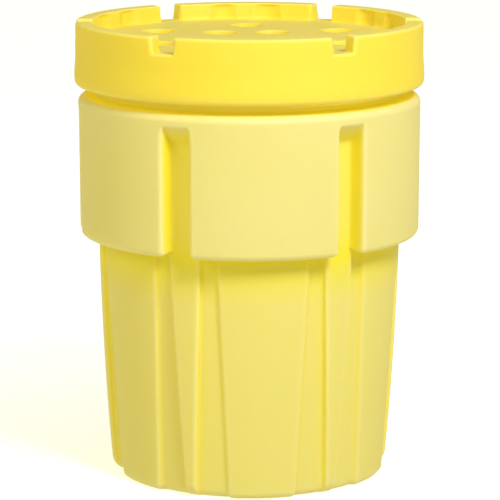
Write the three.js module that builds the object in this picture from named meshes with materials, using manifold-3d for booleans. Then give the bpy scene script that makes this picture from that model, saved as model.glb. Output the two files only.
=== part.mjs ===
// A 95 US gallon overpack salvage drum: a one-piece, single-wall moulded body with a wide collar,
// a double-wall screw lid, the gasket in the lid and the plug in the lid's moulding vent.
// Millimetres, +Z up. The origin is the centre of the circle that the drum stands on.
// An azimuth is in degrees from the front, which is -Y, towards +X.
import * as THREE from "three";
import { mergeVertices } from "three/addons/utils/BufferGeometryUtils.js";
import Module from "manifold-3d";

const wasm = await Module();
wasm.setup();

// ---- driving dimensions ----

const SECTORS = 6; // the ribs, channels, notches and flutes all repeat six times
const STEP = 360 / SECTORS;
const ROUND = 48; // sides of every large circle
const BEYOND = 40; // how far a cutting shape runs past what it cuts
const JUST_BEYOND = 1; // the same, where something else lies close by

const body = {
  wall: 6,
  ribAzimuth: 30, // of the first rib; a panel faces the front
  footRound: { panel: 18, recess: 20, rib: 34 }, // round edges of the foot
  footInner: 262, // the foot ring's inner radius; inside it the floor is raised
  floorRaise: 12,
  panelAtZero: 315, // radius of the tub's panels, carried down to z = 0
  panelTaper: 0.0605, // growth of that radius for each millimetre of height
  recessDepth: 10, // the fields beside each rib lie this far under the panels
  recessHalf: { low: 83, high: 72 }, // half widths at the foot and under the collar
  ribHalf: { low: 12, high: 37 },
  ribAtZero: 320, // radius of the rib's face at the foot; at the collar it runs into the channel's floor
  ribBow: 5, // how far the rib's face bows out halfway up
  collarBottom: 562,
  collarTop: 884,
  collarRadius: { low: 393, high: 394.5 },
  collarRound: { low: 15, high: 14 },
  channelHalf: 32,
  channelTop: 858, // where the channel's sloped roof meets the collar's face
  channelFloor: { low: 349, high: 352 },
  neckRadius: 352,
  mouth: 982,
  lipRadius: 340, // the sealing lip's inner radius
  lipHeight: 10,
};

const lid = {
  wall: 5,
  turned: -4, // how far the closed lid stands round from the body's own azimuths
  top: 1054,
  deck: 1015,
  rimOuter: 400,
  rimInner: 362,
  deckRadius: 358, // where the rim's inner face meets the deck
  flareRadius: 403,
  rimRound: 4, // the rim's top edges
  skirtBottom: 908.5,
  skirtRound: 12,
  skirtInner: 365,
  skirtChamfer: 6,
  taperTop: 954, // the skirt widens from here down to the flare
  grooveTop: 990.6, // roof of the gasket's groove
  plugRadius: 336,
  underside: 972,
  notchFloor: 1017,
  notchHalf: { low: 25, high: 29 },
  fluteAzimuth: 8.5, // each side of the middle between two notches
  fluteRadius: { low: 34, high: 30 },
  fluteDepth: 16,
  pocketRadius: { low: 35, high: 39 },
  pocketDepth: 34,
  pocketRings: [
    { radius: 242, azimuths: [0, 60, 120, 180, 240, 300] },
    { radius: 108, azimuths: [-32, 36, 148, 216] },
  ],
  ventRadius: 8,
  ventAt: { radius: 185, azimuth: 60 },
};

const thread = {
  pitch: 22,
  depth: 9,
  rootWidth: 11,
  crestWidth: 5,
  stepsPerTurn: 30,
  buried: 3, // how far the ridge's root lies inside the wall that carries it
  neck: { start: 900, turns: 3 },
  lid: { below: 7.2, turns: 2 }, // it starts this far under the neck's second turn
};

const gasket = { inner: 341, outer: 362, thickness: 8, soft: 1.5, gap: 0.3 };

const ventPlug = { headRadius: 13, headHeight: 3, shankLength: 11, taper: 2, gap: 0.3, sides: 16 };

// ---- looks ----

const polyethylene = new THREE.MeshStandardMaterial({ color: 0xf6e24a, roughness: 0.45, metalness: 0 });
const foamRubber = new THREE.MeshStandardMaterial({ color: 0x2b2b2b, roughness: 0.85, metalness: 0 });
const plugPlastic = new THREE.MeshStandardMaterial({ color: 0xf3dc3c, roughness: 0.5, metalness: 0 });

// ---- solids ----

const radians = THREE.MathUtils.degToRad;
const mix = THREE.MathUtils.lerp;
const point = (r, z) => new THREE.Vector2(r, z);

function solid(geometry) {
  geometry.deleteAttribute("normal");
  geometry.deleteAttribute("uv");
  const merged = mergeVertices(geometry, 1e-4);
  return new wasm.Manifold(
    new wasm.Mesh({
      numProp: 3,
      vertProperties: new Float32Array(merged.attributes.position.array),
      triVerts: new Uint32Array(merged.index.array),
    }),
  );
}

function geometryOf(made) {
  const mesh = made.asOriginal().simplify(0.02).getMesh(); // drops the slivers that the cuts leave
  const positions = new Float32Array(mesh.numVert * 3);
  for (let i = 0; i < mesh.numVert; i++) {
    positions.set(mesh.vertProperties.subarray(i * mesh.numProp, i * mesh.numProp + 3), i * 3);
  }
  const geometry = new THREE.BufferGeometry();
  geometry.setAttribute("position", new THREE.BufferAttribute(positions, 3));
  geometry.setIndex(new THREE.BufferAttribute(new Uint32Array(mesh.triVerts), 1));
  geometry.computeVertexNormals();
  return geometry;
}

// A solid of revolution about Z. The profile holds (radius, z) points and runs upwards on its outside.
function revolve(profile, sides = ROUND) {
  return solid(new THREE.LatheGeometry(profile, sides).rotateX(Math.PI / 2));
}

// Points of a round corner in a profile, from one angle to another, in degrees from outwards to up.
function corner(centreR, centreZ, radius, from, to, steps = 2) {
  return Array.from({ length: steps + 1 }, (_, i) => {
    const a = radians(mix(from, to, i / steps));
    return point(centreR + radius * Math.cos(a), centreZ + radius * Math.sin(a));
  });
}

// The outline (across, z) pushed outwards from the axis at an azimuth.
function radialPrism(outline, from, to, azimuth) {
  const a = radians(azimuth);
  const across = new THREE.Vector3(Math.cos(a), Math.sin(a), 0);
  const outwards = new THREE.Vector3(Math.sin(a), -Math.cos(a), 0);
  const placed = new THREE.Matrix4().makeBasis(across, new THREE.Vector3(0, 0, 1), outwards);
  const shape = new THREE.Shape(outline);
  const geometry = new THREE.ExtrudeGeometry(shape, { depth: to - from, bevelEnabled: false });
  return solid(geometry.translate(0, 0, from).applyMatrix4(placed));
}

// The outline (radius, z) pushed across the azimuth, as wide as twice the half width.
function crossPrism(outline, half, azimuth) {
  const a = radians(azimuth);
  const outwards = new THREE.Vector3(Math.sin(a), -Math.cos(a), 0);
  const back = new THREE.Vector3(-Math.cos(a), -Math.sin(a), 0);
  const placed = new THREE.Matrix4().makeBasis(outwards, new THREE.Vector3(0, 0, 1), back);
  const shape = new THREE.Shape(outline);
  const geometry = new THREE.ExtrudeGeometry(shape, { depth: 2 * half, bevelEnabled: false });
  return solid(geometry.translate(0, 0, -half).applyMatrix4(placed));
}

// A round peg along Z with its lower end at z, at a radius and azimuth from the axis.
function peg(lowRadius, highRadius, z, height, at, sides) {
  const a = radians(at.azimuth);
  const geometry = new THREE.CylinderGeometry(highRadius, lowRadius, height, sides).rotateX(Math.PI / 2);
  return solid(geometry.translate(at.radius * Math.sin(a), -at.radius * Math.cos(a), z + height / 2));
}

function aroundAxis(first, make) {
  return Array.from({ length: SECTORS }, (_, i) => make(first + i * STEP)).reduce((a, b) => a.add(b));
}

// A trapezoid from z low to z high, in (across, z).
function trapezoid(halfLow, halfHigh, low, high) {
  return [point(-halfLow, low), point(halfLow, low), point(halfHigh, high), point(-halfHigh, high)];
}

// One helical ridge that starts at the front. It stands out from the wall at rootRadius in the
// direction of side, +1 or -1, and both ends run out into the wall.
function threadRidge(rootRadius, side, start, turns) {
  const buried = rootRadius - side * thread.buried;
  const crest = rootRadius + side * thread.depth;
  const section = [
    point(buried, -thread.rootWidth / 2),
    point(crest, -thread.crestWidth / 2),
    point(crest, thread.crestWidth / 2),
    point(buried, thread.rootWidth / 2),
  ];
  if (side < 0) section.reverse();
  section.push(section[0].clone());
  const steps = Math.round(turns * thread.stepsPerTurn);
  const sweep = turns * 2 * Math.PI;
  const geometry = new THREE.LatheGeometry(section, steps, 0, sweep);
  const position = geometry.attributes.position;
  for (let i = 0; i < position.count; i++) {
    const step = Math.floor(i / section.length);
    const at = section[i % section.length];
    const grown = Math.min(1, step / 3, (steps - step) / 3); // the run-out takes three steps
    const angle = (sweep * step) / steps;
    const radius = buried + (at.x - buried) * grown;
    const rise = start + (thread.pitch * angle) / (2 * Math.PI) + at.y * grown;
    position.setXYZ(i, radius * Math.sin(angle), rise, radius * Math.cos(angle));
  }
  return solid(geometry.rotateX(Math.PI / 2));
}

// ---- body ----

const panelRadius = (z) => body.panelAtZero + body.panelTaper * z;
const recessRadius = (z) => panelRadius(z) - body.recessDepth;
const ribRadius = (z) => {
  const t = z / body.collarBottom;
  return mix(body.ribAtZero, body.channelFloor.low, t) + body.ribBow * 4 * t * (1 - t);
};

// A footed tub with the given outer radius at each height, shrunk by the inset on all sides.
function tub(radiusAt, bend, inset, stations = []) {
  const top = (body.collarBottom + body.collarTop) / 2;
  const shift = inset * Math.tan(radians(22.5));
  const wall = stations.map((share) => mix(bend, body.collarBottom, share));
  return revolve([
    point(0, body.floorRaise + inset),
    point(body.footInner - body.floorRaise + shift, body.floorRaise + inset),
    point(body.footInner + shift, inset),
    ...corner(radiusAt(bend) - bend, bend, bend - inset, -90, 0),
    ...wall.map((z) => point(radiusAt(z) - inset, z)),
    point(radiusAt(body.collarBottom) - inset, body.collarBottom + inset),
    point(radiusAt(body.collarBottom) - inset, top),
    point(0, top),
  ]);
}

// A field or rib seen from outside, from under the foot to inside the collar.
function flankedOutline(half, grow) {
  const slope = (half.high - half.low) / body.collarBottom;
  const [low, high] = [-BEYOND, body.collarBottom + BEYOND];
  return trapezoid(half.low + slope * low + grow, half.low + slope * high + grow, low, high);
}

function collar(inset) {
  const { collarBottom: low, collarTop: high, collarRadius: radius, collarRound: bend } = body;
  const ring = revolve([
    point(0, low + inset),
    ...corner(radius.low - bend.low, low + bend.low, bend.low - inset, -90, 0),
    ...corner(radius.high - bend.high, high - bend.high, bend.high - inset, 0, 90),
    point(0, high - inset),
  ]);
  const beyond = radius.high + BEYOND;
  const slant = inset * Math.tan(radians(22.5)); // keeps the wall even along the sloped roof
  const drop = radius.high - body.channelFloor.high;
  const outline = [
    point(body.channelFloor.low - inset, low - BEYOND),
    point(beyond, low - BEYOND),
    point(beyond, body.channelTop + (beyond - radius.high) + inset + slant),
    point(body.channelFloor.high - inset, body.channelTop - drop + slant),
  ];
  const channels = aroundAxis(body.ribAzimuth, (azimuth) =>
    crossPrism(outline, body.channelHalf + inset, azimuth),
  );
  return ring.subtract(channels);
}

// The body's outer form for an inset of 0, and the space inside it for an inset of one wall.
function bodyForm(inset) {
  const [fields, ribs] = [
    flankedOutline(body.recessHalf, inset),
    flankedOutline(body.ribHalf, -inset),
  ].map((outline) =>
    aroundAxis(body.ribAzimuth, (azimuth) =>
      radialPrism(outline, body.footInner / 2, body.collarRadius.high + BEYOND, azimuth),
    ),
  );
  const neckTop = body.mouth - (inset ? body.lipHeight : 0);
  const neck = revolve([
    point(0, body.collarTop - BEYOND),
    point(body.neckRadius - inset, body.collarTop - BEYOND),
    point(body.neckRadius - inset, neckTop),
    point(0, neckTop),
  ]);
  return tub(recessRadius, body.footRound.recess, inset)
    .add(tub(panelRadius, body.footRound.panel, inset).subtract(fields))
    .add(tub(ribRadius, body.footRound.rib, inset, [0.25, 0.5, 0.75]).intersect(ribs))
    .add(collar(inset))
    .add(neck);
}

function drumBody() {
  const mouth = revolve([
    point(0, body.mouth - body.lipHeight - BEYOND),
    point(body.lipRadius, body.mouth - body.lipHeight - BEYOND),
    point(body.lipRadius, body.mouth + BEYOND),
    point(0, body.mouth + BEYOND),
  ]);
  return bodyForm(0)
    .add(threadRidge(body.neckRadius, 1, thread.neck.start, thread.neck.turns))
    .subtract(bodyForm(body.wall))
    .subtract(mouth);
}

// ---- lid ----

// The lid's outer form for an inset of 0, and the hollow between its two walls for an inset of one wall.
function lidForm(inset) {
  const i = inset;
  const bend = lid.skirtRound;
  const round = i ? 0.5 : lid.rimRound;
  const ring = revolve([
    point(0, lid.underside + i),
    point(lid.plugRadius + i, lid.underside + i),
    point(lid.plugRadius + i, lid.grooveTop + i),
    point(lid.skirtInner + i, lid.grooveTop + i),
    point(lid.skirtInner + i, lid.skirtBottom + lid.skirtChamfer),
    point(lid.skirtInner + lid.skirtChamfer, lid.skirtBottom + i),
    ...corner(lid.flareRadius - bend, lid.skirtBottom + bend, bend - i, -90, 0),
    point(lid.rimOuter - i, lid.taperTop),
    point(lid.rimOuter - i, lid.top - i - round),
    point(lid.rimOuter - i - round, lid.top - i),
    point(lid.rimInner + i + round, lid.top - i),
    point(lid.rimInner + i, lid.top - i - round),
    point(lid.deckRadius + i, lid.deck - i),
    point(0, lid.deck - i),
  ]);
  const above = lid.top + JUST_BEYOND;
  const notchOutline = trapezoid(lid.notchHalf.low + i, lid.notchHalf.high + i, lid.notchFloor - i, above);
  const notches = aroundAxis(lid.turned + STEP / 2, (azimuth) =>
    radialPrism(notchOutline, lid.deckRadius - BEYOND, lid.rimOuter + BEYOND, azimuth),
  );
  const sides = i ? { flute: 12, pocket: 10 } : { flute: 20, pocket: 16 }; // coarser where hidden
  const fluteLow = lid.deck - (i ? 2 * lid.wall : 0);
  const flute = lid.fluteRadius;
  const flutes = [-lid.fluteAzimuth, lid.fluteAzimuth].map((aside) =>
    aroundAxis(lid.turned + aside, (azimuth) => {
      const at = { radius: lid.deckRadius + lid.fluteDepth - flute.low, azimuth };
      return peg(flute.low + i, flute.high + i, fluteLow, above - fluteLow, at, sides.flute);
    }),
  );
  const { low, high } = lid.pocketRadius;
  const pocketLow = lid.deck - lid.pocketDepth - i;
  const pockets = lid.pocketRings.flatMap((ring) =>
    ring.azimuths.map((azimuth) => {
      const at = { radius: ring.radius, azimuth: lid.turned + azimuth };
      return peg(low + i, high + i, pocketLow, lid.deck - pocketLow, at, sides.pocket);
    }),
  );
  return [notches, ...flutes, ...pockets].reduce((form, cut) => form.subtract(cut), ring);
}

const ventPlace = { radius: lid.ventAt.radius, azimuth: lid.turned + lid.ventAt.azimuth };

function lidMoulding() {
  const threadStart = thread.neck.start + thread.pitch - thread.lid.below;
  const ventLow = lid.underside - JUST_BEYOND;
  const ventHeight = lid.wall + 2 * JUST_BEYOND;
  const vent = peg(lid.ventRadius, lid.ventRadius, ventLow, ventHeight, ventPlace, ventPlug.sides);
  return lidForm(0)
    .add(threadRidge(lid.skirtInner, -1, threadStart, thread.lid.turns))
    .subtract(lidForm(lid.wall))
    .subtract(vent);
}

// ---- gasket and plug ----

function gasketRing() {
  const top = lid.grooveTop - gasket.gap;
  const low = top - gasket.thickness;
  return new THREE.LatheGeometry(
    [
      point(gasket.inner, low + gasket.soft),
      point(gasket.inner + gasket.soft, low),
      point(gasket.outer - gasket.soft, low),
      point(gasket.outer, low + gasket.soft),
      point(gasket.outer, top),
      point(gasket.inner, top),
      point(gasket.inner, low + gasket.soft),
    ],
    ROUND,
  ).rotateX(Math.PI / 2);
}

function ventPlugShape() {
  const shank = lid.ventRadius - ventPlug.gap;
  return new THREE.LatheGeometry(
    [
      point(0, -ventPlug.headHeight),
      point(ventPlug.headRadius - ventPlug.headHeight / 2, -ventPlug.headHeight),
      point(ventPlug.headRadius, -ventPlug.headHeight / 2),
      point(ventPlug.headRadius, 0),
      point(shank, 0),
      point(shank, ventPlug.shankLength - ventPlug.taper),
      point(shank - ventPlug.taper, ventPlug.shankLength),
      point(0, ventPlug.shankLength),
    ],
    ventPlug.sides,
  ).rotateX(Math.PI / 2);
}

// ---- assembly ----

function piece(name, geometry, material) {
  const mesh = new THREE.Mesh(geometry, material);
  mesh.name = name;
  return mesh;
}

const drum = new THREE.Group();
drum.add(piece("drum_body", geometryOf(drumBody()), polyethylene));

const closure = new THREE.Group();
closure.add(piece("lid", geometryOf(lidMoulding()), polyethylene));
closure.add(piece("lid_gasket", gasketRing(), foamRubber));
const plug = piece("lid_vent_plug", ventPlugShape(), plugPlastic);
plug.position.set(
  ventPlace.radius * Math.sin(radians(ventPlace.azimuth)),
  -ventPlace.radius * Math.cos(radians(ventPlace.azimuth)),
  lid.underside - ventPlug.gap,
);
closure.add(plug);
drum.add(closure);

export default drum;
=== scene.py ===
"""The looks of the overpack salvage drum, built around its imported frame.

Shapes are worked out in millimetres and stored in metres. An azimuth is in degrees from the front,
which is -Y, towards +X.
"""
import math

import bmesh
import bpy
import numpy as np
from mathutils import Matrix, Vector
from mathutils.geometry import delaunay_2d_cdt


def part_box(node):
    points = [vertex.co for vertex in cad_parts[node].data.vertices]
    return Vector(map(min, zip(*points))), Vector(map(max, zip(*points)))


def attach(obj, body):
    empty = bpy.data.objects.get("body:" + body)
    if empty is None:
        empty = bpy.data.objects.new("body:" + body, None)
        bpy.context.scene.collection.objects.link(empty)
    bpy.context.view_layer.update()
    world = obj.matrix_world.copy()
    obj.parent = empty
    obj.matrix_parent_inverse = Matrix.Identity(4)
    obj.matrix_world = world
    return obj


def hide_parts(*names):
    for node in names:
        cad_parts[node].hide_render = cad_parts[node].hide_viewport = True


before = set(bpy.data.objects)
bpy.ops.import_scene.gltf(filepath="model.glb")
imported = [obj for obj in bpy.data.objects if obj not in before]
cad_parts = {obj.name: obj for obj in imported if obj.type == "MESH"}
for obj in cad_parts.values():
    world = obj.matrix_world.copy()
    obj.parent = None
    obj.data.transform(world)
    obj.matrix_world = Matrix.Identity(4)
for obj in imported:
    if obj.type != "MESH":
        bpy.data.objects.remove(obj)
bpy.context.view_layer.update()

MM = 0.001
SECTORS = 6
SECTOR = 360 / SECTORS


def millimetres(node):
    """A node's lowest and highest corners."""
    low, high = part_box(node)
    return [v / MM for v in low], [v / MM for v in high]


BODY_HIGH = millimetres("drum_body")[1]
LID_LOW, LID_HIGH = millimetres("lid")
GASKET_LOW, GASKET_HIGH = millimetres("lid_gasket")
PLUG_LOW, PLUG_HIGH = millimetres("lid_vent_plug")


# ---- camera ----

def add_camera():
    """The photograph's view: from the front, a little above, turned to where the channels show."""
    distance, height, azimuth, pitch = 6.759, 1.806, -5.4, 10.81
    camera = bpy.data.objects.new("camera", bpy.data.cameras.new("camera"))
    bpy.context.scene.collection.objects.link(camera)
    turn = math.radians(azimuth)
    camera.location = (distance * math.sin(turn), -distance * math.cos(turn), height)
    camera.rotation_euler = (math.radians(90 - pitch), 0, turn)
    camera.data.sensor_width = 36
    camera.data.lens = 212.5
    camera.data.shift_x = 0.0014
    camera.data.clip_end = 60
    bpy.context.scene.camera = camera


# ---- profiles, as arrays of (radius, height) ----

def arc(centre, radius, start, end, steps):
    """Points on an arc, from one angle to another, in degrees from outwards to up."""
    a = np.radians(np.linspace(start, end, steps + 1))
    return np.stack([centre[0] + radius * np.cos(a), centre[1] + radius * np.sin(a)], axis=1)


def run(start, end, steps):
    """Points along a straight line, with neither end."""
    t = np.linspace(0, 1, steps + 2)[1:-1, None]
    return (1 - t) * np.array(start) + t * np.array(end)


def along(heights, radius_at):
    return np.stack([radius_at(heights), heights], axis=1)


def upright(heights, radius):
    return np.stack([np.full(heights.shape, float(radius)), heights], axis=1)


def soft_max(a, b, width):
    """The larger of the two, with the corner between them rounded over that width."""
    h = np.clip(0.5 + 0.5 * (a - b) / width, 0, 1)
    return b + (a - b) * h + width * h * (1 - h)


def soft_min(a, b, width):
    return -soft_max(-a, -b, width)


def smooth(t):
    t = np.clip(t, 0, 1)
    return t * t * (3 - 2 * t)


# ---- meshes ----

def flank(depth, fillet, draft, arc_steps, straight_steps):
    """A step of the given depth with both edges rounded: how far across, and what share of the depth.

    depth and fillet hold one value a row. Across is measured from the middle of the step.
    """
    steep = math.radians(90 - draft)
    depth = np.maximum(np.asarray(depth, float), 0.01)[:, None]
    rounding = np.minimum(np.asarray(fillet, float)[:, None], depth / (2 * (1 - math.cos(steep))))
    straight = (depth - 2 * rounding * (1 - math.cos(steep))) / math.sin(steep)
    t = np.linspace(0, steep, arc_steps + 1)[None, :]
    u = np.linspace(0, 1, straight_steps + 1)[None, 1:-1]
    width = 2 * rounding * math.sin(steep) + straight * math.cos(steep)
    low = rounding * np.sin(t), rounding * (1 - np.cos(t))
    middle = (
        rounding * math.sin(steep) + straight * math.cos(steep) * u,
        rounding * (1 - math.cos(steep)) + straight * math.sin(steep) * u,
    )
    high = (width - low[0])[:, ::-1], (depth - low[1])[:, ::-1]
    across = np.concatenate([low[0], middle[0], high[0]], axis=1) - width / 2
    share = np.concatenate([low[1], middle[1], high[1]], axis=1) / depth
    across = across + np.linspace(-1, 1, across.shape[1])[None, :]  # columns never fall together
    return across, share


def spread(start, end, steps):
    """Columns between two angles, one row at a time, without either end."""
    t = np.linspace(0, 1, steps + 2)[None, 1:-1]
    return start * (1 - t) + end * t


def all_round(angle, radius, height, first):
    """The whole turn from half a sector, whose first column is its middle and last its edge.

    Gives (azimuth, radius, height) arrays with one row for each profile point.
    """
    mirrored = [np.concatenate([-angle[:, :0:-1], angle[:, :-1]], axis=1)]
    for values in (radius, height):
        mirrored.append(np.concatenate([values[:, :0:-1], values[:, :-1]], axis=1))
    turns = [mirrored[0] + first + k * SECTOR for k in range(SECTORS)]
    return (
        np.concatenate(turns, axis=1),
        np.tile(mirrored[1], (1, SECTORS)),
        np.tile(mirrored[2], (1, SECTORS)),
    )


def lathe(profile, columns):
    azimuth = np.tile(np.arange(columns) * 360 / columns, (len(profile), 1))
    ones = np.ones((1, columns))
    return azimuth, profile[:, :1] * ones, profile[:, 1:] * ones


class Surface:
    """Collects the patches of one closed surface and makes them into one object."""

    def __init__(self):
        self.points = []
        self.faces = []
        self.count = 0

    def add(self, points, faces):
        self.faces += [tuple(v + self.count for v in face) for face in faces]
        self.points.append(np.asarray(points, float))
        self.count += len(points)

    def add_rows(self, azimuth, radius, height, centre=(0, 0), cap_start=False, cap_end=False):
        """Rows of a profile going round an axis. It faces outwards where the rows go upwards."""
        rows, columns = radius.shape
        a = np.radians(azimuth)
        points = np.stack(
            [centre[0] + radius * np.sin(a), centre[1] - radius * np.cos(a), height], axis=2
        ).reshape(-1, 3)
        at = np.arange(rows * columns).reshape(rows, columns)
        after = np.roll(at, -1, axis=1)
        faces = np.stack([at[:-1], after[:-1], after[1:], at[1:]], axis=2).reshape(-1, 4).tolist()
        points = points.tolist()
        for wanted, row in ((cap_start, 0), (cap_end, -1)):
            if not wanted:
                continue
            tip = len(points)
            points.append([centre[0], centre[1], float(height[row].mean())])
            for start, end in zip(at[row].tolist(), after[row].tolist()):
                faces.append((tip, end, start) if row == 0 else (start, end, tip))
        self.add(points, faces)

    def add_flat(self, outline, holes, height, facing_up):
        """A flat sheet with round holes, whose edges are the given loops of (x, y) points."""
        loops = [outline] + holes
        rings = [ring(hole) for hole in holes]
        points = [Vector(p) for loop in loops for p in loop]
        edges = []
        start = 0
        for loop in loops:
            n = len(loop)
            edges += [(start + k, start + (k + 1) % n) for k in range(n)]
            start += n
        made = delaunay_2d_cdt(points, edges, [], 0, 1e-5)
        flat, triangles = made[0], made[2]
        faces = []
        for triangle in triangles:
            corners = [flat[v] for v in triangle]
            middle = sum(corners, Vector((0, 0))) / len(corners)
            if any((middle - centre).length < radius for centre, radius in rings):
                continue
            (ax, ay), (bx, by), (cx, cy) = corners[:3]
            upwards = (bx - ax) * (cy - ay) - (by - ay) * (cx - ax) > 0
            faces.append(tuple(triangle) if upwards == facing_up else tuple(reversed(triangle)))
        self.add([(p[0], p[1], height) for p in flat], faces)

    def make(self, name):
        mesh = bpy.data.meshes.new(name)
        points = np.concatenate(self.points) * MM
        mesh.from_pydata(points.tolist(), [], self.faces)
        mesh.validate()
        made = bpy.data.objects.new(name, mesh)
        bpy.context.scene.collection.objects.link(made)
        merge(mesh)
        mesh.shade_smooth()
        return made


def ring(loop):
    """The middle and inner radius of a round loop of points."""
    middle = sum((Vector(p) for p in loop), Vector((0, 0))) / len(loop)
    return middle, min((Vector(p) - middle).length for p in loop) * 0.98


def circle(radius, columns, centre=(0, 0)):
    a = np.radians(np.arange(columns) * 360 / columns)
    return [(centre[0] + radius * math.sin(t), centre[1] - radius * math.cos(t)) for t in a]


def merge(mesh):
    """Joins the patches where their edges meet."""
    work = bmesh.new()
    work.from_mesh(mesh)
    bmesh.ops.remove_doubles(work, verts=work.verts, dist=2e-6)
    bmesh.ops.dissolve_degenerate(work, edges=work.edges, dist=1e-7)
    work.to_mesh(mesh)
    work.free()


def helix_share(azimuth, height, start, turns):
    """How far a thread's ridge stands out at each point, from 0 to 1."""
    turn = np.mod(azimuth, 360) / 360
    turn = turn + np.round((height - start) / PITCH - turn)
    aside = np.abs(height - start - PITCH * turn)
    run_out = np.clip(np.minimum(turn, turns - turn) * 10, 0, 1)
    root = RIDGE_ROOT * run_out / 2
    crest = RIDGE_CREST * run_out / 2
    return smooth((root + 0.6 - aside) / np.maximum(root - crest + 1.2, 1e-3)) * smooth(run_out)


# ---- drum body ----

WALL = 6
FOOT_INNER = 262
FLOOR_RAISE = 12
FLOOR_RADII = (30, 120, 225)
NARROWEST = 290  # widths across the wall become angles at this radius or a larger one
PANEL_AT_ZERO, PANEL_TAPER = 315, 0.0605
FIELD_DEPTH = 10
RIB_AT_ZERO, RIB_BOW = 320, 5
FOOT_ROUND = {"rib": 34, "field": 20, "panel": 18}
COLLAR_BOTTOM, COLLAR_TOP = 562, 884
COLLAR_LOW, COLLAR_HIGH = 393, BODY_HIGH[0]
COLLAR_ROUND_LOW, COLLAR_ROUND_HIGH = 15, 16
UNDER_COLLAR_ROUND = 6
WALL_TOP = COLLAR_BOTTOM - UNDER_COLLAR_ROUND
COLLAR_START = COLLAR_BOTTOM + COLLAR_ROUND_LOW
CHANNEL_HALF, CHANNEL_CORNER, CHANNEL_TOP_CORNER = 32, 9, 4
CHANNEL_TOP, CHANNEL_ROOF = 858, 62
CHANNEL_FLOOR_LOW, CHANNEL_FLOOR_HIGH = 349, 352
RIB_HALF_LOW, RIB_HALF_HIGH = 13, 38
RIB_FILLET, RIB_DRAFT = 6, 6
FIELD_FILLET, FIELD_DRAFT = 9, 30
FIELD_HALF_LOW, FIELD_HALF_HIGH = 83, 72
NECK = 352
NECK_ROUND = 5
MOUTH = BODY_HIGH[2]
LIP_INNER, LIP_HEIGHT, LIP_ROUND = 340, 10, 3
PITCH, RIDGE_DEPTH, RIDGE_ROOT, RIDGE_CREST = 22, 9, 11, 5
THREAD_START = 900
THREAD_OFFSET = 7.2  # the lid's ridges lie this far below the neck's
NECK_THREAD = {"start": THREAD_START, "turns": 3}
LID_THREAD = {"start": THREAD_START + PITCH - THREAD_OFFSET, "turns": 2}


def panel_radius(z):
    return PANEL_AT_ZERO + PANEL_TAPER * z


def rib_radius(z):
    t = z / COLLAR_BOTTOM
    return RIB_AT_ZERO + (CHANNEL_FLOOR_LOW - RIB_AT_ZERO) * t + RIB_BOW * 4 * t * (1 - t)


def collar_radius(z):
    t = np.clip((z - COLLAR_BOTTOM) / (COLLAR_TOP - COLLAR_BOTTOM), 0, 1)
    return COLLAR_LOW + (COLLAR_HIGH - COLLAR_LOW) * t


def channel_radius(z, inset):
    """The rib below the collar, the channel's floor in it and the slope at the channel's top."""
    t = np.clip((z - COLLAR_BOTTOM) / (CHANNEL_TOP - COLLAR_BOTTOM), 0, 1)
    in_collar = CHANNEL_FLOOR_LOW + t * (CHANNEL_FLOOR_HIGH - CHANNEL_FLOOR_LOW)
    floor = np.where(z < COLLAR_BOTTOM, rib_radius(z), in_collar)
    roof = COLLAR_HIGH - (CHANNEL_TOP - z) - inset * (math.sqrt(2) - 1)
    return soft_min(soft_max(floor, roof, 5), collar_radius(z), 3) - inset


def field_radius(z):
    return panel_radius(z) - FIELD_DEPTH


def foot_profile(zone, base, inset, detail):
    """From the floor's middle, down its raised edge to the foot ring and round to the wall."""
    lift = [0, inset]
    slope_steps = 7
    bend = FOOT_ROUND[zone]
    floor = np.array([[radius, FLOOR_RAISE] for radius in FLOOR_RADII]) + lift
    slope_radius = np.linspace(FOOT_INNER - 14, FOOT_INNER + 6, slope_steps) + inset / 2
    slope_height = FLOOR_RAISE * (1 - smooth(np.linspace(0, 1, slope_steps))) + inset
    slope = np.stack([slope_radius, slope_height], axis=1)
    flat = np.array([[FOOT_INNER + 16, 0], [FOOT_INNER + 26, 0]]) + lift
    foot = arc((base(bend) - bend, bend), bend - inset, -90, 0, 2 * detail)
    return np.concatenate([floor, slope, flat, foot])


def ledge_profile(zone, base, inset, detail):
    """From the wall out to the collar. A rib runs on into its channel without a ledge."""
    if zone == "rib":
        heights = np.linspace(WALL_TOP, COLLAR_START, 3 * detail + 5)
        return along(heights, lambda z: channel_radius(z, inset))
    inner = (base(WALL_TOP) + UNDER_COLLAR_ROUND, WALL_TOP)
    outer = (COLLAR_LOW - COLLAR_ROUND_LOW, COLLAR_START)
    under = arc(inner, UNDER_COLLAR_ROUND + inset, 180, 90, detail + 1)
    edge = arc(outer, COLLAR_ROUND_LOW - inset, -90, 0, 2 * detail)
    return np.concatenate([under, run(under[-1], edge[0], 2), edge])


def collar_profile(zone, inset, detail):
    """Up the collar, or the channel in it, and over the shoulder to the neck's foot."""
    roof_start = CHANNEL_TOP - CHANNEL_ROOF
    shoulder_start = COLLAR_TOP - COLLAR_ROUND_HIGH
    heights = np.concatenate([
        np.linspace(COLLAR_START, roof_start, 2 * detail + 2)[1:-1],
        np.linspace(roof_start, shoulder_start, 5 * detail + 1)[:-1],
    ])
    if zone == "rib":
        upper = along(heights, lambda z: channel_radius(z, inset))
    else:
        upper = along(heights, collar_radius) - [inset, 0]
    outer = (COLLAR_HIGH - COLLAR_ROUND_HIGH, shoulder_start)
    inner = (NECK + NECK_ROUND, COLLAR_TOP + NECK_ROUND)
    shoulder = arc(outer, COLLAR_ROUND_HIGH - inset, 0, 90, 2 * detail)
    neck = arc(inner, NECK_ROUND + inset, 270, 180, detail)
    return np.concatenate([upper, shoulder, run(shoulder[-1], neck[0], 2), neck])


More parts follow.
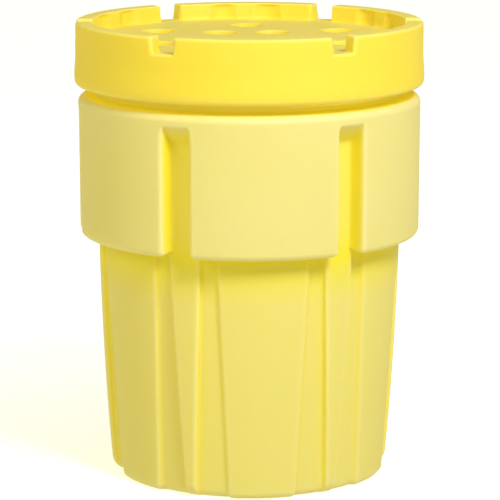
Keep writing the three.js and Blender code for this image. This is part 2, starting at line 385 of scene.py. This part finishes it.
def body_profile(zone, base, inset, detail):
    """One profile, from the floor's middle to the neck's foot, with as many points in every zone."""
    foot = foot_profile(zone, base, inset, detail)
    heights = np.linspace(FOOT_ROUND[zone], WALL_TOP, 4 * detail + 2)[1:-1]
    wall = along(heights, base) - [inset, 0]
    ledge = ledge_profile(zone, base, inset, detail)
    return np.concatenate([foot, wall, ledge, collar_profile(zone, inset, detail)])


def up_the_wall(z, low, high):
    """A width that changes evenly from the floor to the collar."""
    return low + (high - low) * np.clip(z / COLLAR_BOTTOM, 0, 1)


def rib_edge(z, inset, rise):
    """Half the width of a rib, or of the channel that it becomes where rise goes from 0 to 1."""
    rib_half = up_the_wall(z, RIB_HALF_LOW, RIB_HALF_HIGH) - inset
    lift = np.clip((z - COLLAR_BOTTOM) / CHANNEL_CORNER, 0, 1)
    spare = np.clip((z - CHANNEL_TOP + CHANNEL_TOP_CORNER) / CHANNEL_TOP_CORNER, 0, 1)
    corner_low = CHANNEL_CORNER * (1 - np.sqrt(1 - (1 - lift) ** 2))
    corner_high = CHANNEL_TOP_CORNER * (1 - np.sqrt(1 - spare**2))
    channel_half = CHANNEL_HALF + inset + corner_low - corner_high
    return rib_half + (channel_half - rib_half) * rise


def body_rows(inset, detail):
    """The body's outer form for an inset of 0, and the space inside it for an inset of one wall."""
    rib = body_profile("rib", rib_radius, inset, detail)
    field = body_profile("field", field_radius, inset, detail)
    panel = body_profile("panel", panel_radius, inset, detail)
    z = field[:, 1]
    out = np.clip((field[:, 0] - panel[:, 0] + FIELD_DEPTH) / FIELD_DEPTH, 0, 1)
    rise = out * (z > COLLAR_BOTTOM - 10)
    edge = rib_edge(z, inset, rise)
    field_half = up_the_wall(z, FIELD_HALF_LOW, FIELD_HALF_HIGH) + inset
    reference = np.maximum(field[:, :1], NARROWEST)

    def angle(across):
        return np.degrees(np.arcsin(across / reference))

    rib_step = np.abs(rib[:, 0] - field[:, 0])
    field_step = np.abs(panel[:, 0] - field[:, 0])
    rib_across, rib_share = flank(rib_step, RIB_FILLET + 2 * rise, RIB_DRAFT, 5, 3)
    field_fillet = np.full(len(z), float(FIELD_FILLET))
    field_across, field_share = flank(field_step, field_fillet, FIELD_DRAFT, 5, 2)

    middle = np.zeros((len(z), 1))
    last = np.full((len(z), 1), SECTOR / 2)
    rib_flank = angle(edge[:, None] + rib_across)
    field_flank = angle(field_half[:, None] + field_across)
    on_rib = spread(middle, rib_flank[:, :1], 3)
    on_field = spread(rib_flank[:, -1:], field_flank[:, :1], 4)
    on_panel = spread(field_flank[:, -1:], last, 9)
    angles = np.concatenate([middle, on_rib, rib_flank, on_field, field_flank, on_panel, last], axis=1)
    values = []
    for k in (0, 1):
        r, f, p = (zone[:, k : k + 1] for zone in (rib, field, panel))
        values.append(np.concatenate([
            np.repeat(r, 1 + on_rib.shape[1], axis=1),
            r + (f - r) * rib_share,
            np.repeat(f, on_field.shape[1], axis=1),
            f + (p - f) * field_share,
            np.repeat(p, on_panel.shape[1] + 1, axis=1),
        ], axis=1))
    return all_round(angles, values[0], values[1], SECTOR / 2)


def neck_profile():
    """Up the outside of the neck, over the mouth's lip and down the inside."""
    neck_foot = COLLAR_TOP + NECK_ROUND
    lip_top = MOUTH - LIP_ROUND
    lip_bottom = MOUTH - LIP_HEIGHT
    inner = LIP_INNER + LIP_ROUND
    inside = NECK - WALL
    return np.concatenate([
        upright(np.linspace(neck_foot, lip_top, 64)[1:-1], NECK),
        arc((NECK - LIP_ROUND, lip_top), LIP_ROUND, 0, 90, 4),
        arc((inner, lip_top), LIP_ROUND, 90, 180, 4),
        arc((inner, lip_bottom + LIP_ROUND), LIP_ROUND, 180, 225, 2),
        [[inside, lip_bottom - 2], [inside, MOUTH - 45]],
    ])


def make_body():
    outside = body_rows(0, 4)
    inside = [values[::-1] for values in body_rows(WALL, 2)]
    neck = neck_profile()
    ones = np.ones((1, outside[1].shape[1]))
    azimuth = np.repeat(outside[0][-1:], len(neck), axis=0)
    height = neck[:, 1:] * ones
    on_outside = neck[:, :1] >= NECK
    radius = neck[:, :1] * ones + RIDGE_DEPTH * helix_share(azimuth, height, **NECK_THREAD) * on_outside
    rows = [np.concatenate(parts) for parts in zip(outside, (azimuth, radius, height), inside)]
    surface = Surface()
    surface.add_rows(*rows, cap_start=True, cap_end=True)
    return surface.make("drum_moulding")


# ---- lid ----

LID_TURNED = -4
LID_TOP = LID_HIGH[2]
DECK = 1015
RIM_OUTER, RIM_INNER, DECK_RADIUS = 400, 362, 358
DECK_FILLET = 6
DECK_EDGE = 345  # where the flat sheet of the deck starts
RIM_ROUND_OUTER, RIM_ROUND_INNER = 6, 4
FLARE = LID_HIGH[0]
FLARE_HEIGHT, TAPER_TOP = 925, 985
SKIRT_BOTTOM = LID_LOW[2]
SKIRT_ROUND, SKIRT_INNER, SKIRT_CHAMFER = 12, 365, 6
SKIRT_TUCK = 0.8  # how much the flare draws in again at its foot
GROOVE_TOP, GROOVE_ROUND, PLUG_RADIUS, UNDERSIDE = 990.6, 2, 336, 972
NOTCH_FLOOR, NOTCH_HALF, NOTCH_DRAFT, NOTCH_FILLET = 1017, 27, 5, 3
NOTCH_FLARE_OUT, NOTCH_FLARE_IN = 9, 2
FLUTE_AZIMUTH, FLUTE_CENTRE, FLUTE_LOW, FLUTE_HIGH = 8.5, 318, 55, 52
FLUTE_REACH = 6.6  # degrees each side of its middle
FLUTE_FADE = 9
POCKET_LOW, POCKET_HIGH, POCKET_DEPTH = 35, 39, 34
POCKET_LIP, POCKET_BEND = 4, 9
POCKET_MOUTH = POCKET_HIGH + POCKET_LIP + 3  # the hole in the flat sheet of the deck
POCKET_COLUMNS, VENT_COLUMNS = 64, 32
POCKET_RINGS = ((242, (0, 60, 120, 180, 240, 300)), (108, (-32, 36, 148, 216)))
VENT_RADIUS = 8
PLUG_CENTRE = ((PLUG_LOW[0] + PLUG_HIGH[0]) / 2, (PLUG_LOW[1] + PLUG_HIGH[1]) / 2)


def beside_notches():
    """The stretches of the profile beside the notches, from the skirt over the rim to the deck."""
    outer, inner = RIM_ROUND_OUTER, RIM_ROUND_INNER
    top = LID_TOP
    foot = DECK_FILLET
    return [
        upright(np.linspace(TAPER_TOP, top - outer, 12)[:-1], RIM_OUTER),
        arc((RIM_OUTER - outer, top - outer), outer, 0, 90, 7),
        run((RIM_OUTER - outer, top), (RIM_INNER + inner, top), 5),
        arc((RIM_INNER + inner, top - inner), inner, 90, 175, 5),
        run((RIM_INNER, top - inner), (DECK_RADIUS + 0.6, DECK + foot), 14),
        arc((DECK_RADIUS - foot, DECK + foot), foot, -5, -90, 5),
        [[DECK_EDGE + 3, DECK], [DECK_EDGE, DECK]],
    ]


def through_notches():
    """The same stretches through the middle of a notch, each with as many points."""
    outer = RIM_ROUND_OUTER
    floor = NOTCH_FLOOR
    return [
        upright(np.linspace(TAPER_TOP, floor - outer, 12)[:-1], RIM_OUTER),
        arc((RIM_OUTER - outer, floor - outer), outer, 0, 90, 7),
        run((RIM_OUTER - outer, floor), (RIM_INNER + 6, floor), 5),
        run((RIM_INNER + 6, floor), (RIM_INNER + 2, floor), 6),
        run((RIM_INNER + 2, floor), (DECK_RADIUS, floor - 1), 14),
        run((DECK_RADIUS, floor - 1), (DECK_RADIUS - 8, DECK), 6),
        [[DECK_EDGE + 3, DECK], [DECK_EDGE, DECK]],
    ]


def notch_flare(steps):
    """How much wider a notch is at each point, where its outer and inner mouths are rounded."""
    outer_turn = np.radians(np.linspace(0, 90, steps[1]))
    inner_turn = np.radians(np.linspace(90, 0, steps[3]))
    return np.concatenate([
        np.full(steps[0], float(NOTCH_FLARE_OUT)),
        NOTCH_FLARE_OUT * (1 - np.sin(outer_turn)),
        np.zeros(steps[2]),
        NOTCH_FLARE_IN * (1 - np.sin(inner_turn)),
        np.full(sum(steps[4:]), float(NOTCH_FLARE_IN)),
    ])


def flute_depth(angles, height):
    """How far the flutes inside the rim go past its inner wall, fading out below the rim's top."""
    t = np.clip((height - DECK) / (LID_TOP - DECK), 0, 1)
    scoop_radius = FLUTE_LOW + (FLUTE_HIGH - FLUTE_LOW) * t
    across = np.radians(angles - FLUTE_AZIMUTH) * DECK_RADIUS
    scoop = FLUTE_CENTRE + np.sqrt(np.maximum(scoop_radius**2 - across**2, 0)) - RIM_INNER
    return soft_max(scoop, 0, 4) * smooth((LID_TOP - height) / FLUTE_FADE)


def lid_upper_rows():
    """From the top of the skirt's taper over the rim to the deck's edge, with notches and flutes."""
    stretches = beside_notches()
    plain = np.concatenate(stretches)
    through = np.concatenate(through_notches())
    count = len(plain)
    ones = np.ones((count, 1))
    half_notch = NOTCH_HALF + notch_flare([len(stretch) for stretch in stretches])[:, None]
    depth = np.full(count, float(LID_TOP - NOTCH_FLOOR))
    across, share = flank(depth, np.full(count, float(NOTCH_FILLET)), NOTCH_DRAFT, 4, 4)
    notch_wall = SECTOR / 2 - np.degrees(np.arcsin((half_notch - across) / plain[:, :1]))

    flute_start, flute_end = FLUTE_AZIMUTH - FLUTE_REACH, FLUTE_AZIMUTH + FLUTE_REACH
    middle = np.linspace(0, flute_start, 3)[None, :] * ones
    flute = np.linspace(flute_start, flute_end, 24)[None, 1:] * ones
    beside = spread(flute_end * ones, notch_wall[:, :1], 5)
    in_notch = spread(notch_wall[:, -1:], SECTOR / 2 * ones, 3)
    last = SECTOR / 2 * ones
    angles = np.concatenate([middle, flute, beside, notch_wall, in_notch, last], axis=1)

    plain_columns = middle.shape[1] + flute.shape[1] + beside.shape[1]
    in_plain = np.ones((count, plain_columns))
    in_through = np.zeros((count, in_notch.shape[1] + 1))
    share = np.concatenate([in_plain, 1 - share, in_through], axis=1)
    radius, height = (
        through[:, k : k + 1] + (plain[:, k : k + 1] - through[:, k : k + 1]) * share for k in (0, 1)
    )
    wall_rows = (plain[:, 0] < RIM_INNER + RIM_ROUND_INNER) & (plain[:, 0] > DECK_EDGE + 3)
    fluted = radius + flute_depth(angles, height) * wall_rows[:, None]
    radius = np.where(share > 0.99, fluted, radius)
    return all_round(angles, radius, height, LID_TURNED)


def skirt_radius(z):
    """The skirt's outside, which flares towards its foot."""
    taper = 1 - smooth((z - FLARE_HEIGHT) / (TAPER_TOP - FLARE_HEIGHT))
    return RIM_OUTER + (FLARE - RIM_OUTER) * taper - SKIRT_TUCK * smooth((FLARE_HEIGHT - z) / 10)


def lid_lower_profile():
    """From the underside's edge round the gasket's groove, down the thread and up the outside."""
    bottom = SKIRT_BOTTOM
    chamfer = SKIRT_CHAMFER
    groove = GROOVE_TOP
    round_start = groove - GROOVE_ROUND
    chamfer_end = SKIRT_INNER + chamfer
    return np.concatenate([
        [[PLUG_RADIUS - 6, UNDERSIDE], [PLUG_RADIUS - 4, UNDERSIDE]],
        arc((PLUG_RADIUS - 3, UNDERSIDE + 3), 3, -90, 0, 4),
        run((PLUG_RADIUS, UNDERSIDE + 3), (PLUG_RADIUS, round_start), 2),
        arc((PLUG_RADIUS + GROOVE_ROUND, round_start), GROOVE_ROUND, 180, 90, 3),
        run((PLUG_RADIUS + GROOVE_ROUND, groove), (SKIRT_INNER - GROOVE_ROUND, groove), 2),
        arc((SKIRT_INNER - GROOVE_ROUND, round_start), GROOVE_ROUND, 90, 0, 3),
        upright(np.linspace(round_start, bottom + chamfer, 56)[1:], SKIRT_INNER),
        run((SKIRT_INNER, bottom + chamfer), (chamfer_end, bottom), 3),
        [[chamfer_end + 1, bottom]],
        run((chamfer_end + 1, bottom), (FLARE - SKIRT_ROUND, bottom), 2),
        arc((FLARE - SKIRT_ROUND - SKIRT_TUCK, bottom + SKIRT_ROUND), SKIRT_ROUND, -90, 0, 8),
        along(np.linspace(bottom + SKIRT_ROUND, TAPER_TOP, 11)[1:-1], skirt_radius),
    ])


def outline(azimuth, radius):
    """One row as a loop of (x, y) points."""
    return [(r * math.sin(a), -r * math.cos(a)) for a, r in zip(np.radians(azimuth), radius)]


def make_lid():
    upper = lid_upper_rows()
    lower = lid_lower_profile()
    ones = np.ones((1, upper[1].shape[1]))
    azimuth = np.repeat(upper[0][:1], len(lower), axis=0)
    height = lower[:, 1:] * ones
    inner_end = SKIRT_INNER + SKIRT_CHAMFER
    on_skirt = (lower[:, :1] >= SKIRT_INNER - 0.1) & (lower[:, :1] < inner_end)
    radius = lower[:, :1] * ones - RIDGE_DEPTH * helix_share(azimuth, height, **LID_THREAD) * on_skirt
    rows = [np.concatenate(parts) for parts in zip((azimuth, radius, height), upper)]
    surface = Surface()
    surface.add_rows(*rows)

    holes = []
    for ring_radius, azimuths in POCKET_RINGS:
        for ring_azimuth in azimuths:
            a = math.radians(LID_TURNED + ring_azimuth)
            centre = (ring_radius * math.sin(a), -ring_radius * math.cos(a))
            holes.append(circle(POCKET_MOUTH, POCKET_COLUMNS, centre))
            add_pocket(surface, centre)
    surface.add_flat(outline(rows[0][-1], rows[1][-1]), holes, DECK, True)

    vent_hole = circle(VENT_RADIUS, VENT_COLUMNS, PLUG_CENTRE)
    surface.add_flat(outline(rows[0][0], rows[1][0]), [vent_hole], UNDERSIDE, False)
    vent_end = UNDERSIDE + 14
    vent = np.array([[2, vent_end], [VENT_RADIUS, vent_end], [VENT_RADIUS, UNDERSIDE]])
    surface.add_rows(*lathe(vent, VENT_COLUMNS), centre=PLUG_CENTRE, cap_start=True)
    return surface.make("lid_moulding")


def add_pocket(surface, centre):
    """A round pocket in the deck, with a rounded lip, a sloping wall and a rounded floor."""
    slope = math.degrees(math.atan2(POCKET_DEPTH, POCKET_HIGH - POCKET_LOW))
    floor = DECK - POCKET_DEPTH
    bend = POCKET_BEND
    profile = np.concatenate([
        [[POCKET_MOUTH, DECK], [POCKET_MOUTH - 2, DECK]],
        arc((POCKET_HIGH + POCKET_LIP - 0.5, DECK - POCKET_LIP), POCKET_LIP, 90, 90 + slope, 6),
        arc((POCKET_LOW - bend, floor + bend), bend, slope - 90, -90, 6),
        [[8, floor]],
    ])
    surface.add_rows(*lathe(profile, POCKET_COLUMNS), centre=centre, cap_end=True)


# ---- gasket and vent plug ----

def make_gasket():
    low, high = GASKET_LOW[2], GASKET_HIGH[2]
    outer = GASKET_HIGH[0]
    inner = LIP_INNER + 1
    soft = 2
    profile = np.concatenate([
        arc((outer - soft, low + soft), soft, -90, 0, 4),
        arc((outer - soft, high - soft), soft, 0, 90, 4),
        arc((inner + soft, high - soft), soft, 90, 180, 4),
        arc((inner + soft, low + soft), soft, 180, 270, 4),
        run((inner + soft, low), (outer - soft, low), 3),
        [[outer - soft, low]],
    ])
    surface = Surface()
    surface.add_rows(*lathe(profile, 240))
    return surface.make("gasket_ring")


def make_plug():
    low, high = PLUG_LOW[2], PLUG_HIGH[2]
    head = (PLUG_HIGH[0] - PLUG_LOW[0]) / 2
    seat = low + 3
    shank = VENT_RADIUS - 0.3
    profile = np.concatenate([
        [[2, low + 1.2], [head - 5, low + 1.2]],
        arc((head - 4, low + 1), 1, 180, 270, 3),
        arc((head - 1.5, low + 1.5), 1.5, -90, 90, 8),
        [[head - 2, seat], [shank + 0.3, seat]],
        [[shank - 0.3, seat + 0.6], [shank - 0.3, seat + 3], [shank, seat + 4], [shank, seat + 5]],
        [[shank - 0.5, seat + 6], [shank - 0.5, high - 2.4], [shank - 2, high - 0.4]],
        [[shank - 2.6, high], [2, high]],
    ])
    surface = Surface()
    surface.add_rows(*lathe(profile, 48), centre=PLUG_CENTRE, cap_start=True, cap_end=True)
    return surface.make("vent_plug")


# ---- materials ----

def material(name):
    made = bpy.data.materials.new(name)
    made.use_nodes = True
    nodes = made.node_tree.nodes
    return made, nodes, made.node_tree.links, nodes["Principled BSDF"]


def noise(nodes, links, place, scale, detail, roughness=0.5):
    made = nodes.new("ShaderNodeTexNoise")
    made.inputs["Scale"].default_value = scale
    made.inputs["Detail"].default_value = detail
    made.inputs["Roughness"].default_value = roughness
    links.new(place, made.inputs["Vector"])
    return made.outputs["Fac"]


def ramp(nodes, links, value, *stops):
    """A colour that goes from one stop to the other. A stop is a value and its colour."""
    made = nodes.new("ShaderNodeValToRGB")
    for element, (position, colour) in zip(made.color_ramp.elements, stops):
        element.position = position
        element.color = (*colour, 1)
    links.new(value, made.inputs["Fac"])
    return made.outputs["Color"]


def bump(nodes, links, height, strength, distance, before=None):
    made = nodes.new("ShaderNodeBump")
    made.inputs["Strength"].default_value = strength
    made.inputs["Distance"].default_value = distance
    links.new(height, made.inputs["Height"])
    if before is not None:
        links.new(before, made.inputs["Normal"])
    return made.outputs["Normal"]


def mixed_colour(nodes, links, share, usual, other):
    """One colour, with another mixed in by a share from 0 to 1. The other is a plain colour."""
    mix = nodes.new("ShaderNodeMix")
    mix.data_type = "RGBA"
    mix.inputs[7].default_value = (*other, 1)
    links.new(share, mix.inputs[0])
    links.new(usual, mix.inputs[6])
    return mix.outputs[2]


def product(nodes, links, a, b):
    times = nodes.new("ShaderNodeMath")
    times.operation = "MULTIPLY"
    links.new(a, times.inputs[0])
    links.new(b, times.inputs[1])
    return times.outputs["Value"]


def span(nodes, links, value, start, end, low=0.0, high=1.0, kind="LINEAR"):
    """A value carried from one span to another, and held at its ends."""
    made = nodes.new("ShaderNodeMapRange")
    made.interpolation_type = kind
    for name, limit in (("From Min", start), ("From Max", end), ("To Min", low), ("To Max", high)):
        made.inputs[name].default_value = limit
    links.new(value, made.inputs["Value"])
    return made.outputs["Result"]


def height_of(nodes, links, vector):
    parts = nodes.new("ShaderNodeSeparateXYZ")
    links.new(vector, parts.inputs["Vector"])
    return parts.outputs["Z"]


def by_height(nodes, links, place, start, end, high=1.0):
    """A share that goes from 0 to its highest between two heights in millimetres."""
    height = height_of(nodes, links, place)
    return span(nodes, links, height, start * MM, end * MM, high=high)


def length_of(nodes, links, vector, scale=(1, 1, 1)):
    scaled = nodes.new("ShaderNodeVectorMath")
    scaled.operation = "MULTIPLY"
    scaled.inputs[1].default_value = scale
    links.new(vector, scaled.inputs[0])
    length = nodes.new("ShaderNodeVectorMath")
    length.operation = "LENGTH"
    links.new(scaled.outputs["Vector"], length.inputs[0])
    return length.outputs["Value"]


def openness(nodes, distance, only_local):
    """How much of the view round a point is free to that distance, from 0 to 1."""
    made = nodes.new("ShaderNodeAmbientOcclusion")
    made.samples = 8
    made.only_local = only_local
    made.inputs["Distance"].default_value = distance
    return made.outputs["AO"]


def painted_top_shade(nodes, links, place):
    """Painted shade: the upward faces from the deck up to the rim's top, in cloudy patches."""
    raised = by_height(nodes, links, place, DECK - 1, DECK - 0.5)
    facing = height_of(nodes, links, nodes.new("ShaderNodeTexCoord").outputs["Normal"])
    upwards = span(nodes, links, facing, 0.6, 1.0)
    clouds = noise(nodes, links, place, scale=14, detail=5, roughness=0.6)
    patches = span(nodes, links, clouds, 0.2, 0.7, low=0.6, high=1.0)
    return product(nodes, links, product(nodes, links, raised, upwards), patches)


def below_collar(nodes, links, place):
    """Where the body takes a more saturated colour: from a little above the collar's foot downwards."""
    return by_height(nodes, links, place, COLLAR_BOTTOM + 38, COLLAR_BOTTOM - 32)


def painted_collar_shadow(nodes, links, place):
    """Painted shadow: the wall just below the collar's overhang, which its patch paints a deep yellow.
    """
    from_axis = length_of(nodes, links, place, (1, 1, 0))
    behind = span(nodes, links, from_axis, (COLLAR_LOW - 8) * MM, (COLLAR_LOW - 28) * MM)
    below_edge = by_height(nodes, links, place, COLLAR_BOTTOM + 58, COLLAR_BOTTOM - 2)
    near_edge = by_height(nodes, links, place, COLLAR_BOTTOM - 112, COLLAR_BOTTOM - 12, high=0.9)
    return product(nodes, links, behind, product(nodes, links, below_edge, near_edge))


def polyethylene(name, pale, deep, recess_shade_colour, edge_highlight_and_wear, reach, closed, gloss, patches):
    """Moulded yellow polyethylene: cloudy colour, a satin skin with faint orange peel, slight haze.

    It is a little translucent. Recesses, found by occlusion, are painted a fuller colour as painted
    shade, and the tightest gaps glow faintly as painted light standing in for light through the
    plastic. Convex edges are painted paler as a painted highlight, with some rubbing wear. Each of the
    patches is a colour and the function that says where it lies.
    """
    made, nodes, links, shader = material(name)
    place = nodes.new("ShaderNodeTexCoord").outputs["Object"]
    clouds = noise(nodes, links, place, scale=3.2, detail=4)
    colour = ramp(nodes, links, clouds, (0.3, deep), (0.7, pale))
    for patch, where in patches:
        colour = mixed_colour(nodes, links, where(nodes, links, place), colour, patch)
    # Painted shade: where little of the view round a point is open, the colour turns to the recess
    # colour.
    recess = span(nodes, links, openness(nodes, reach, True), *closed, low=0.85, high=0.0)
    colour = mixed_colour(nodes, links, recess, colour, recess_shade_colour)
    # Painted highlight, with some rubbing wear: convex edges turn to the paler edge colour.
    pointiness = nodes.new("ShaderNodeNewGeometry").outputs["Pointiness"]
    edge = span(nodes, links, pointiness, 0.504, 0.55, high=0.6)
    colour = mixed_colour(nodes, links, edge, colour, edge_highlight_and_wear)
    links.new(colour, shader.inputs["Base Color"])

    # Painted light: a faint yellow glow in the tightest gaps, above the foot, standing in for light
    # through the plastic.
    through = span(nodes, links, openness(nodes, 0.05, False), 0.5, 0.2, high=0.13)
    off_floor = by_height(nodes, links, place, 50, 150)
    links.new(product(nodes, links, through, off_floor), shader.inputs["Emission Strength"])
    shader.inputs["Emission Color"].default_value = (1, 0.85, 0, 1)

    haze = noise(nodes, links, place, scale=40, detail=6, roughness=0.65)
    links.new(span(nodes, links, haze, 0, 1, low=0.50, high=0.66), shader.inputs["Roughness"])
    broad = noise(nodes, links, place, scale=11, detail=2)
    fine = noise(nodes, links, place, scale=420, detail=2)
    waves = bump(nodes, links, broad, strength=0.35, distance=0.0022)
    peel = bump(nodes, links, fine, strength=0.12, distance=0.0004, before=waves)
    links.new(peel, shader.inputs["Normal"])
    shader.inputs["IOR"].default_value = 1.5
    shader.inputs["Specular IOR Level"].default_value = gloss
    shader.inputs["Subsurface Weight"].default_value = 0.25
    shader.inputs["Subsurface Radius"].default_value = (0.02, 0.014, 0.004)
    shader.inputs["Subsurface Scale"].default_value = 1.0
    return made


def foam_rubber():
    made, nodes, links, shader = material("closed_cell_foam")
    place = nodes.new("ShaderNodeTexCoord").outputs["Object"]
    cells = noise(nodes, links, place, scale=900, detail=3, roughness=0.7)
    colour = ramp(nodes, links, cells, (0.35, (0.012, 0.012, 0.013)), (0.7, (0.04, 0.04, 0.042)))
    links.new(colour, shader.inputs["Base Color"])
    shader.inputs["Roughness"].default_value = 0.88
    links.new(bump(nodes, links, cells, strength=0.5, distance=0.0005), shader.inputs["Normal"])
    return made


# ---- light and surroundings ----

LIGHT_ABOVE, LIGHT_BELOW = 0.43, 0.92
LIGHT_COLOUR = (1, 0.93, 0.63, 1)
LIGHT_TARGET = Vector((0, 0, 0.6))
FLOOR_HALF = 30
FLOOR_AT = -0.0003  # just clear of the foot
FLOOR_GLOW_NEAR, FLOOR_GLOW_FAR = 0.5, 0.68  # the floor brightens to white away from the drum
FLOOR_NEAR, FLOOR_FAR = 0.2, 1.6  # distances from the axis where that starts and ends
FLOOR_GLOW_COLOUR = (0.90, 0.95, 1, 1)


def area_light(name, azimuth, height, distance, size, power, colour=(1, 1, 1)):
    """A rectangular light that points at the drum's middle."""
    a = math.radians(azimuth)
    place = Vector((distance * math.sin(a), -distance * math.cos(a), height))
    light = bpy.data.lights.new(name, "AREA")
    light.shape = "RECTANGLE"
    light.size, light.size_y = size
    light.energy = power
    light.color = colour
    made = bpy.data.objects.new(name, light)
    made.location = place
    made.rotation_euler = (LIGHT_TARGET - place).to_track_quat("-Z", "Y").to_euler()
    bpy.context.scene.collection.objects.link(made)


def add_world():
    """Plain light from all round, stronger from below, as a pale floor would throw it back."""
    world = bpy.data.worlds.new("studio")
    bpy.context.scene.world = world
    world.use_nodes = True
    nodes, links = world.node_tree.nodes, world.node_tree.links
    direction = nodes.new("ShaderNodeTexCoord").outputs["Generated"]
    height = height_of(nodes, links, direction)
    strength = span(nodes, links, height, -0.2, 0.2, LIGHT_BELOW, LIGHT_ABOVE, "SMOOTHSTEP")
    nodes["Background"].inputs["Color"].default_value = LIGHT_COLOUR
    links.new(strength, nodes["Background"].inputs["Strength"])


def floor_look():
    made, nodes, links, shader = material("pale_floor")
    place = nodes.new("ShaderNodeTexCoord").outputs["Object"]
    clouds = noise(nodes, links, place, scale=2, detail=3)
    tone = ramp(nodes, links, clouds, (0.3, (0.88, 0.91, 0.97)), (0.7, (0.90, 0.93, 0.99)))
    links.new(tone, shader.inputs["Base Color"])
    shader.inputs["Roughness"].default_value = 0.9
    away = length_of(nodes, links, place)
    near, far = FLOOR_GLOW_NEAR, FLOOR_GLOW_FAR
    glow = span(nodes, links, away, FLOOR_NEAR, FLOOR_FAR, near, far, "SMOOTHSTEP")
    shader.inputs["Emission Color"].default_value = FLOOR_GLOW_COLOUR
    links.new(glow, shader.inputs["Emission Strength"])
    return made


def add_floor():
    """The floor. It throws no diffuse or glossy light on the drum, so that its glow doesn't either."""
    mesh = bpy.data.meshes.new("floor")
    corners = [(-1, -1), (1, -1), (1, 1), (-1, 1)]
    points = [(x * FLOOR_HALF, y * FLOOR_HALF, FLOOR_AT) for x, y in corners]
    mesh.from_pydata(points, [], [(0, 1, 2, 3)])
    mesh.materials.append(floor_look())
    floor = bpy.data.objects.new("floor", mesh)
    bpy.context.scene.collection.objects.link(floor)
    floor.visible_diffuse = False
    floor.visible_glossy = False


def add_studio():
    add_world()
    add_floor()
    area_light("key", azimuth=26, height=3.9, distance=3.6, size=(1.3, 1.3), power=156)
    warm = (1, 0.92, 0.4)
    area_light("fill", azimuth=-55, height=3.6, distance=4.4, size=(2.5, 2.0), power=60, colour=warm)


# ---- the object ----

def fit(piece, body, node, look):
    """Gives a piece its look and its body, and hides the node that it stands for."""
    piece.data.materials.append(look)
    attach(piece, body)
    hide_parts(node)


add_camera()
body_look = polyethylene(
    "body_polyethylene",
    pale=(0.87, 0.77, 0.30),
    deep=(0.86, 0.75, 0.26),
    # painted shade colour for recesses
    recess_shade_colour=(0.96, 0.81, 0.0),
    # painted highlight colour for convex edges, with some rubbing wear
    edge_highlight_and_wear=(0.97, 0.90, 0.58),
    reach=0.11,
    closed=(0.52, 0.94),
    gloss=0.6,
    # The second patch is a painted shadow under the collar's overhang.
    patches=[((0.90, 0.775, 0.215), below_collar), ((0.92, 0.79, 0.02), painted_collar_shadow)],
)
lid_look = polyethylene(
    "lid_polyethylene",
    pale=(0.93, 0.75, 0.06),
    deep=(0.92, 0.73, 0.045),
    # painted shade colour for recesses
    recess_shade_colour=(0.94, 0.77, 0.0),
    # painted highlight colour for convex edges, with some rubbing wear
    edge_highlight_and_wear=(0.97, 0.87, 0.40),
    reach=0.04,
    closed=(0.1, 0.75),
    gloss=0.7,
    # The patch is painted shade on the upward faces.
    patches=[((0.83, 0.71, 0.16), painted_top_shade)],
)
plug_look = polyethylene(
    "plug_polyethylene",
    pale=(0.90, 0.74, 0.10),
    deep=(0.87, 0.70, 0.08),
    # painted shade colour for recesses
    recess_shade_colour=(0.88, 0.66, 0.01),
    # painted highlight colour for convex edges, with some rubbing wear
    edge_highlight_and_wear=(0.92, 0.82, 0.30),
    reach=0.02,
    closed=(0.3, 0.9),
    gloss=0.5,
    # The patch is painted shade on the upward faces.
    patches=[((0.83, 0.71, 0.16), painted_top_shade)],
)
fit(make_body(), "drum", "drum_body", body_look)
fit(make_lid(), "lid", "lid", lid_look)
fit(make_gasket(), "gasket", "lid_gasket", foam_rubber())
fit(make_plug(), "lid", "lid_vent_plug", plug_look)
add_studio()

bpy.context.scene.view_settings.view_transform = "Standard"
